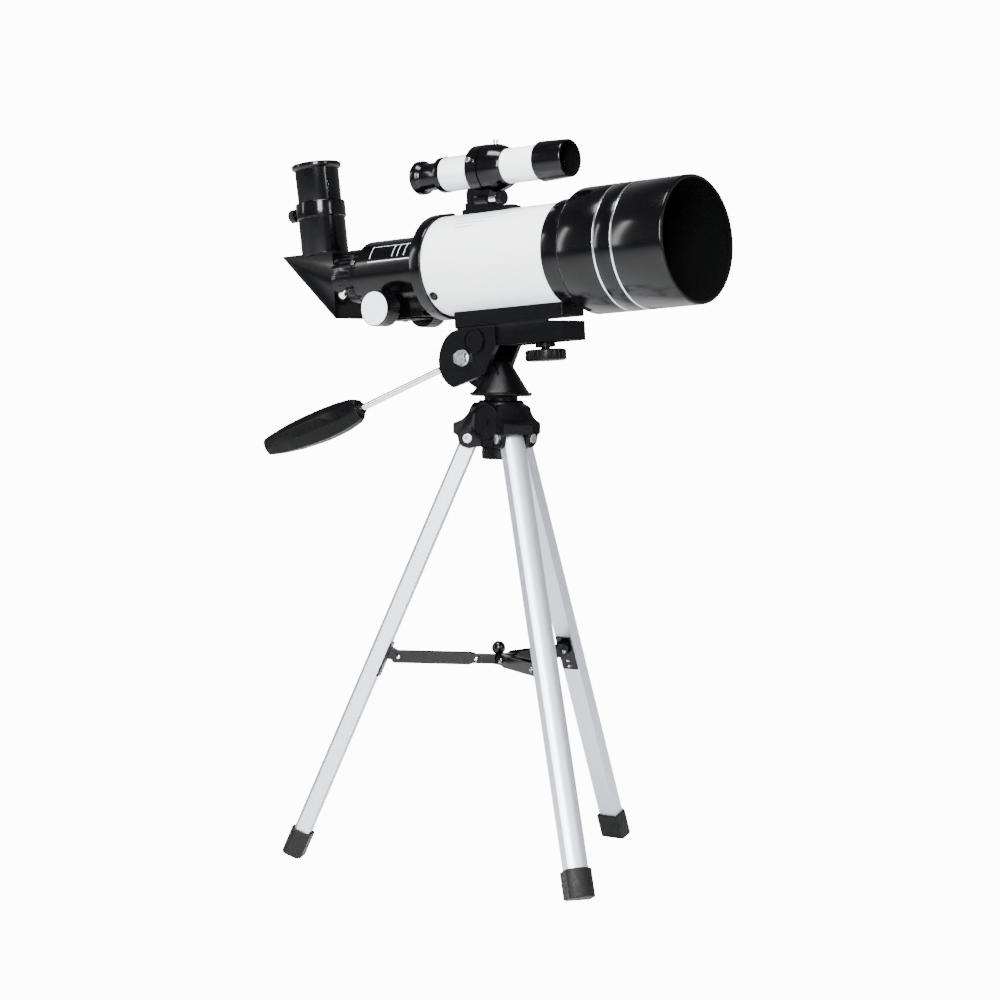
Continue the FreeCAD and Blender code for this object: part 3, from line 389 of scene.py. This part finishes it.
# %% Dew shield and its bright rings
RINGS = (111.0, 125.6)
shield_outline = [(78.5, 37.6), (78.5, 41.0), (79.1, 42.4), (80.2, 43.5), (81.6, 44.0)]
for station in RINGS:
    shield_outline += [(station - 0.8, 44.0), (station - 0.8, 43.6), (station + 0.8, 43.6), (station + 0.8, 44.0)]
shield_outline += [(165.4, 44.0), (166.2, 43.3), (166.2, 41.6), (163.6, 41.6), (162.8, 42.4), (90.5, 42.4), (88.5, 37.6)]
turned("dew_shield_spun", "dew_shield", shield_outline, tube_place, black_enamel, steps=192, round_mm=0.12,
       inside=flat_black)
for name, station in zip(("trim_ring_rear", "trim_ring_front"), RINGS):
    bm = spun([(station - 0.8, 43.6), (station - 0.8, 44.1), (station + 0.8, 44.1), (station + 0.8, 43.6)], 192, 0.1)
    bm.transform(tube_place)
    mesh = bpy.data.meshes.new(name)
    bm.to_mesh(mesh)
    bm.free()
    finish_mesh(mesh, turned_trim)
    place_piece(name, mesh, "shield_trim_rings")
turned("lens_ring_spun", "lens_ring", [(91.6, 32.6), (91.6, 35), (95, 35), (95, 33.6), (93.5, 32.6)], tube_place,
       flat_black, steps=128, round_mm=0.1)
for node in ("objective_crown", "objective_flint"):
    moulded(node, coated_glass, 0)
print("tube done")

# %% [markdown]
# ## Focuser, diagonal and eyepiece
# The focuser housing is a turned barrel with a cast block for the pinion. The star diagonal is a plain moulded wedge
# that turns the light up into the eyepiece. The knurled knobs are wheels with a ring of small scallops; the frame has
# each scallop already, so the copies only need their edges broken.

# %% Focuser
for node, finish, width in (
        ("focuser_housing", black_enamel, 0.5), ("pinion_cover", moulded_abs, 0.2),
        ("drawtube_collar", polished_abs, 0.15), ("nose_thumbscrew", chrome_plate, 0.25),
        ("drawtube_setscrew", chrome_plate, 0.25), ("pinion_shaft", zinc_steel, 0.1),
        ("focus_knobs", polished_abs, 0.3), ("focus_knob_caps", grey_plate, 0.3), ("drawtube", flat_black, 0.0),
        ("cell_screws", polished_abs, 0.2)):
    moulded(node, finish, width)

# %% Diagonal and eyepiece
for node, finish, width in (
        ("diagonal_body", polished_abs, 0.6), ("diagonal_mirror", silvered, 0.0),
        ("holder_thumbscrew", polished_abs, 0.2), ("eyepiece_lenses", coated_glass, 0.0)):
    moulded(node, finish, width)
LEAN = math.radians(4.2)
eyepiece_place = (tube_place @ Matrix.Translation((-165.2 * MM, 0, 19.6 * MM))
                  @ Matrix.Rotation(-LEAN, 4, "Y") @ Matrix.Rotation(math.radians(-90), 4, "Y"))
turned("holder_spun", "eyepiece_holder", [
    (-1.5, 15.98), (-1.5, 17.4), (26.6, 17.4), (27.0, 18.4), (38.2, 18.4), (38.6, 18.0), (38.6, 15.98)],
    eyepiece_place, polished_abs, steps=128, round_mm=0.3, inside=flat_black)
turned("eyepiece_spun", "eyepiece_body", [
    (14.6, 12.9), (14.6, 15.875), (38.9, 15.875), (38.9, 16.1), (63.2, 16.3), (64.2, 17.9), (65.0, 18.4), (67.0, 18.4),
    (67.6, 17.6), (67.6, 12.0), (65.8, 10.0), (56.6, 10.0), (54.6, 12.9)],
    eyepiece_place, polished_abs, steps=128, round_mm=0.3, inside=flat_black)
print("focuser and eyepiece done")

# %% [markdown]
# ## The finder
# A little telescope clamped in a stepped ring over the tube. Its tube is white like the big one, with a black shade in
# front and a stepped black eyepiece behind, so the same spin makes all three.

# %% Finder
turned("finder_tube_spun", "finder_tube", [(-47, 11.4), (-47, 12.4), (44, 12.4), (44, 11.4)], finder_place, white_enamel,
       steps=96, round_mm=0.1, inside=flat_black)
turned("finder_shade_spun", "finder_shade", [
    (40, 12.4), (40, 13.8), (40.8, 14.2), (63.4, 13.3), (64, 12.8), (64, 12.2), (49, 12.2), (49, 10.4), (44, 10.4),
    (44, 12.4)], finder_place, polished_abs, steps=96, round_mm=0.15, inside=flat_black)
turned("finder_eyepiece_spun", "finder_eyepiece", [
    (-72.4, 8), (-72.4, 11), (-70.8, 12.2), (-66.2, 12.2), (-64.8, 10.6), (-64, 10), (-51.5, 10), (-49.4, 12.8),
    (-44.6, 12.9), (-44.6, 12.4), (-47, 12.4), (-47, 8.6), (-66, 8.6), (-68, 6.5), (-70, 6.5)],
    finder_place, polished_abs, steps=96, round_mm=0.2, inside=flat_black)
for node, finish, width in (
        ("finder_bracket", polished_abs, 0.5), ("finder_adjusters", chrome_plate, 0.2),
        ("finder_thumbscrew", polished_abs, 0.2), ("finder_objective", coated_glass, 0.0),
        ("finder_eye_lens", coated_glass, 0.0)):
    moulded(node, finish, width)
print("finder done")

# %% [markdown]
# ## Printing
# The barrel of the focuser carries a plain silver frame and the tube a few fine grey rules. Both are films of ink, made
# as narrow strips spun part of the way round. They could be drawn in the shader, but strips keep clean edges.


# %% Printed rules
def strip(bm, radius, start, end, top_angle, low_angle):
    """A film from start to end along the tube, between two angles down the side."""
    points = [bm.verts.new((s * MM, 0, radius * MM)) for s in (start, end)]
    bmesh.ops.rotate(bm, verts=points, cent=(0, 0, 0), matrix=Matrix.Rotation(math.radians(top_angle), 3, "X"))
    steps = max(2, round((low_angle - top_angle) / 1.5))
    bmesh.ops.spin(bm, geom=points + [bm.edges.new(points)], axis=(1, 0, 0), cent=(0, 0, 0), dvec=(0, 0, 0),
                   angle=math.radians(low_angle - top_angle), steps=steps, use_merge=False, use_duplicate=False)


def printed(name, node, radius, strips, finish):
    bm = bmesh.new()
    for start, end, top_angle, low_angle in strips:
        strip(bm, radius + 0.05, start, end, top_angle, low_angle)
    bm.transform(tube_place)
    mesh = bpy.data.meshes.new(name)
    bm.to_mesh(mesh)
    bm.free()
    finish_mesh(mesh, finish)
    place_piece(name, mesh, node)


frame_strips = [(-105, -66, 71, 73), (-105, -66, 40, 41.6)]
frame_strips += [(s - 0.4, s + 0.4, 40, 66) for s in (-104.0, -83.0, -78.0, -72.0)]
printed("silver_frame", "focuser_housing", 24.3, frame_strips, silver_ink)
rules = [(-30 + 2 * i, 40 - 9 * i, 14 + 6.5 * i, 15.4 + 6.5 * i) for i in range(6)]
printed("grey_rules", "main_tube", 36.0, rules, grey_ink)
print("printing done")

# %% [markdown]
# ## Pan-and-tilt head
# All moulded ABS except the rubber deck pad, the chrome handle rod and the zinc-plated tilt bolt. The grip is a spindle
# that fits the palm.

# %% Head
for node, finish, width in (
        ("tube_saddle", moulded_abs, 0.8), ("tilt_head", moulded_abs, 0.9), ("deck_pad", foot_rubber, 0.2),
        ("tilt_bolt", zinc_steel, 0.4), ("deck_knob", moulded_abs, 0.4), ("pan_base", moulded_abs, 0.25),
        ("pan_shaft", moulded_abs, 0.4), ("handle_rod", chrome_plate, 0.2), ("handle_grip", moulded_abs, 1.0)):
    moulded(node, finish, width)

# %% [markdown]
# ## Tripod
# The crown holds three forks, and each leg is an extruded aluminium bar with a moulded plug and a rubber cap. Between
# them the spreader's three channel arms meet on a small hub with a ball to lift it by.

# %% Tripod
moulded("crown", moulded_abs, 0.7)
moulded("leg_pivot_bolts", zinc_steel, 0.3)
for leg in "123":
    moulded("leg_tube_" + leg, leg_anodised, 0.5)
    moulded("leg_plug_" + leg, moulded_abs, 0.3)
    moulded("foot_cap_" + leg, foot_rubber, 1.2)
    moulded("spreader_bracket_" + leg, polished_abs, 0.3)
    moulded("spreader_arm_" + leg, polished_abs, 0.3)
moulded("spreader_hub", polished_abs, 0.3)
moulded("hub_knob", polished_abs, 0.2)

# %% [markdown]
# ## Rivets
# Bright rivets pin the spreader's arms and hold the brackets to the legs. Their domed heads are spun, one small cap at
# a time, and laid over the flat heads of the frame. A screw hub by the finder is plated too.

# %% Rivets and the plated hub
PIVOT_R, PIVOT_Z, SPREAD = 22.0, 304.0, 22.8
PIN_R, PIN_Z, HUB_R = 71.5, 147.0, 15.5


def dome(name, node, place, radius, base, tall, finish):
    """A domed cap standing along +X of its place."""
    outline = [(base, 0), (base, radius)]
    outline += [(base + tall * math.sin(a), radius * math.cos(a)) for a in (0.3, 0.7, 1.1, 1.4)]
    bm = spun(outline + [(base + tall, 0)], 32, 0)
    bm.transform(place)
    mesh = bpy.data.meshes.new(name)
    bm.to_mesh(mesh)
    bm.free()
    finish_mesh(mesh, finish)
    place_piece(name, mesh, node)


drop = math.radians(SPREAD)
pin_down = (PIN_R - PIVOT_R) * math.sin(drop) + (PIVOT_Z - PIN_Z) * math.cos(drop)
for leg, azimuth in zip("123", (-30, 90, -150)):
    swing = Matrix.Rotation(math.radians(azimuth), 4, "Z")
    for end, station in (("in", HUB_R), ("out", PIN_R)):
        for side, quarter in (("left", 90), ("right", -90)):
            place = (swing @ Matrix.Translation((station * MM, 0, PIN_Z * MM))
                     @ Matrix.Rotation(math.radians(quarter), 4, "Z"))
            dome(f"rivet_{leg}_{end}_{side}", "spreader_arm_" + leg, place, 2.0, 4.9, 1.0, chrome_plate)
    hang = (swing @ Matrix.Translation((PIVOT_R * MM, 0, PIVOT_Z * MM)) @ Matrix.Rotation(-drop, 4, "Y"))
    for i, z in enumerate((-7.4, -12.0, -16.4)):
        place = hang @ Matrix.Translation((0, 0, (z - pin_down) * MM)) @ Matrix.Rotation(math.pi, 4, "Z")
        dome(f"bracket_rivet_{leg}_{i}", "spreader_bracket_" + leg, place, 1.6, 7.4, 0.8, chrome_plate)
hub_place = tube_place @ Matrix.Translation((0, -8.0 * MM, 43.7 * MM))
turned("plated_hub", "finder_thumbscrew", [(-1.7, 0), (-1.7, 2.6), (-1.3, 2.9), (5.6, 2.9), (6.1, 2.6), (6.1, 0)],
       hub_place, chrome_plate, steps=48, round_mm=0)
print("rivets done")
